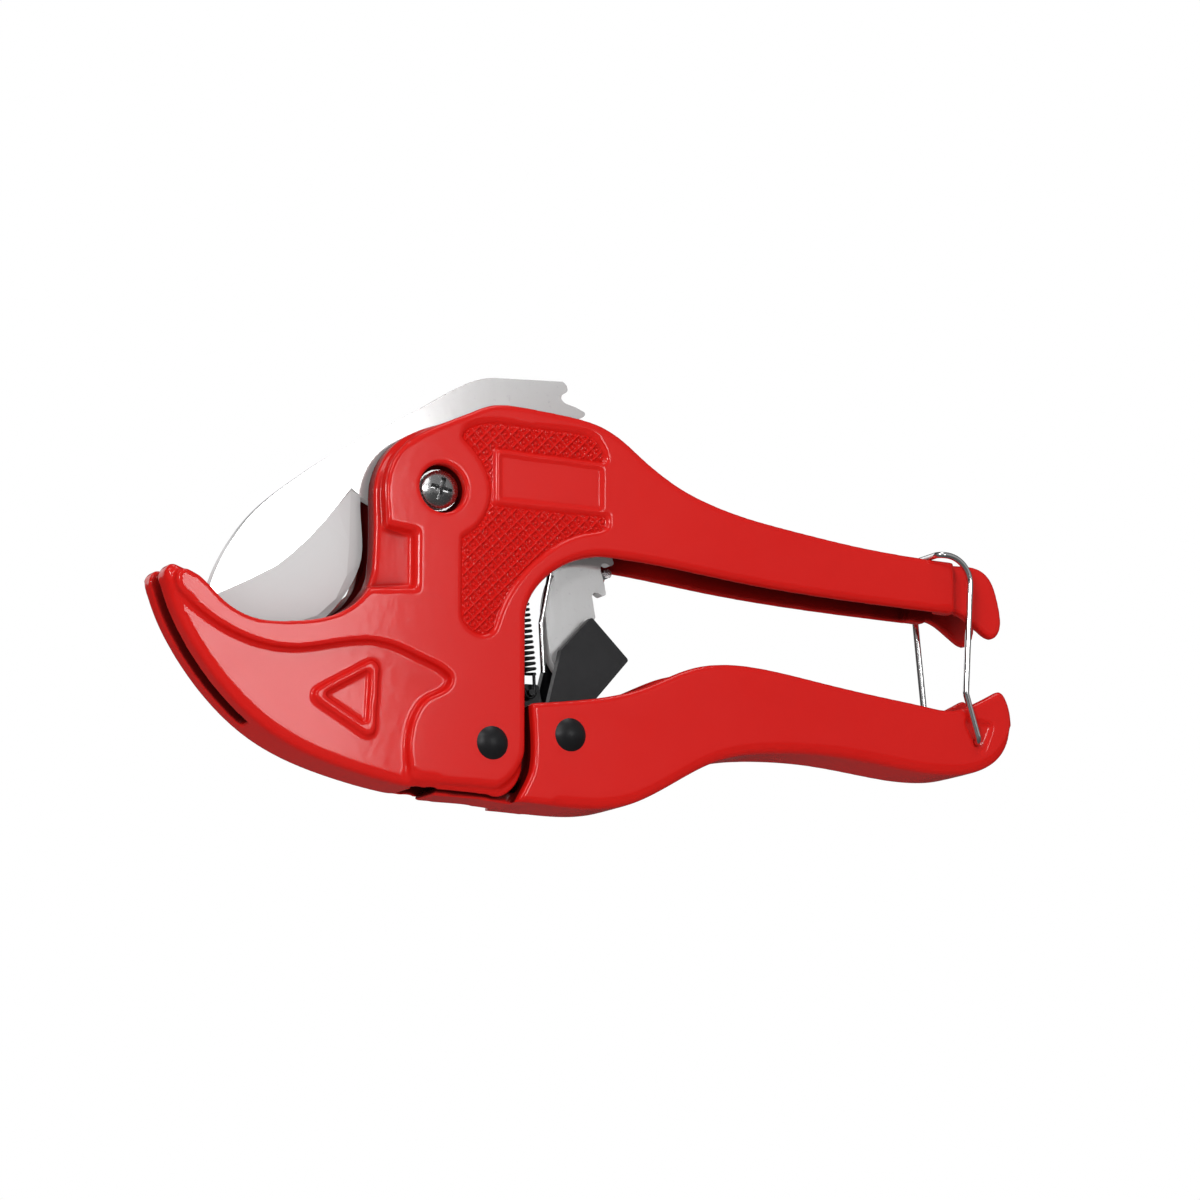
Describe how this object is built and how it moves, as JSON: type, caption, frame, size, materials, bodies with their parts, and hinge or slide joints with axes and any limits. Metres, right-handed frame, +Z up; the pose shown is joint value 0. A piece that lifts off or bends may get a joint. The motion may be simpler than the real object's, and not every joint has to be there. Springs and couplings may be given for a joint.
{
  "type": "pvc pipe cutter",
  "caption": "Hand-held ratcheting pipe cutter: hooked slotted jaw, swinging toothed blade, sprung lower handle with pawl, and a wire latch.",
  "frame": {"origin": "on the blade's pivot axis, in the tool's mid-plane", "axes": "+X from the jaw towards the grips, +Z up from the lower grip to the upper grip, -Y out of the side with the screw head"},
  "size_m": [0.2007, 0.0244, 0.095],
  "materials": {
    "red_paint": "glossy powder coat on a die casting",
    "blade_steel": "ground and polished",
    "bright_steel": "zinc plated",
    "screw_steel": "satin",
    "black_steel": "black oxide, satin",
    "black_spring": "black oxide, semi-gloss",
    "nickel_wire": "bright nickel"
  },
  "bodies": {
    "frame": {"frame_casting": "red_paint", "blade_screw": "screw_steel", "spring_washer": "screw_steel", "near_blade_washer": "bright_steel", "far_blade_washer": "bright_steel", "nut_washer": "screw_steel", "blade_nut": "screw_steel", "handle_rivet": "black_steel", "near_pivot_washer": "bright_steel", "far_pivot_washer": "bright_steel", "blade_stop_pin": "bright_steel", "coil_anchor_pin": "bright_steel", "torsion_spring_pin": "bright_steel", "handle_spring": "nickel_wire", "pawl_spring": "black_spring"},
    "blade_group": {"blade": "blade_steel", "blade_bush": "bright_steel"},
    "handle": {"lower_handle": "red_paint", "pawl_rivet": "black_steel", "near_pawl_spacer": "bright_steel", "far_pawl_spacer": "bright_steel", "spring_bracket": "black_steel"},
    "pawl": {"drive_pawl": "black_steel"},
    "latch": {"latch_wire": "nickel_wire"}
  },
  "joints": [
    {"name": "blade_hinge", "type": "hinge", "parent": "frame", "child": "blade_group", "pos_m": [0, 0, 0], "axis": [0, 1, 0], "range_deg": [0, 60]},
    {"name": "handle_hinge", "type": "hinge", "parent": "frame", "child": "handle", "pos_m": [0.0116, 0, -0.0542], "axis": [0, 1, 0], "range_deg": [-2, 20], "deforming": ["handle_spring", "pawl_spring", "latch_wire"]},
    {"name": "pawl_hinge", "type": "hinge", "parent": "handle", "child": "pawl", "pos_m": [0.0298, 0, -0.0514], "axis": [0, 1, 0], "range_deg": [-22, 4]},
    {"name": "latch_hinge", "type": "hinge", "parent": "handle", "child": "latch", "pos_m": [0.13, 0, -0.0471], "axis": [0, 1, 0], "range_deg": [-10, 100]}
  ],
  "couplings": [
    {"joint": "pawl_hinge", "follows": "handle_hinge", "ratio": -1},
    {"joint": "latch_hinge", "follows": "handle_hinge", "ratio": 5}
  ]
}
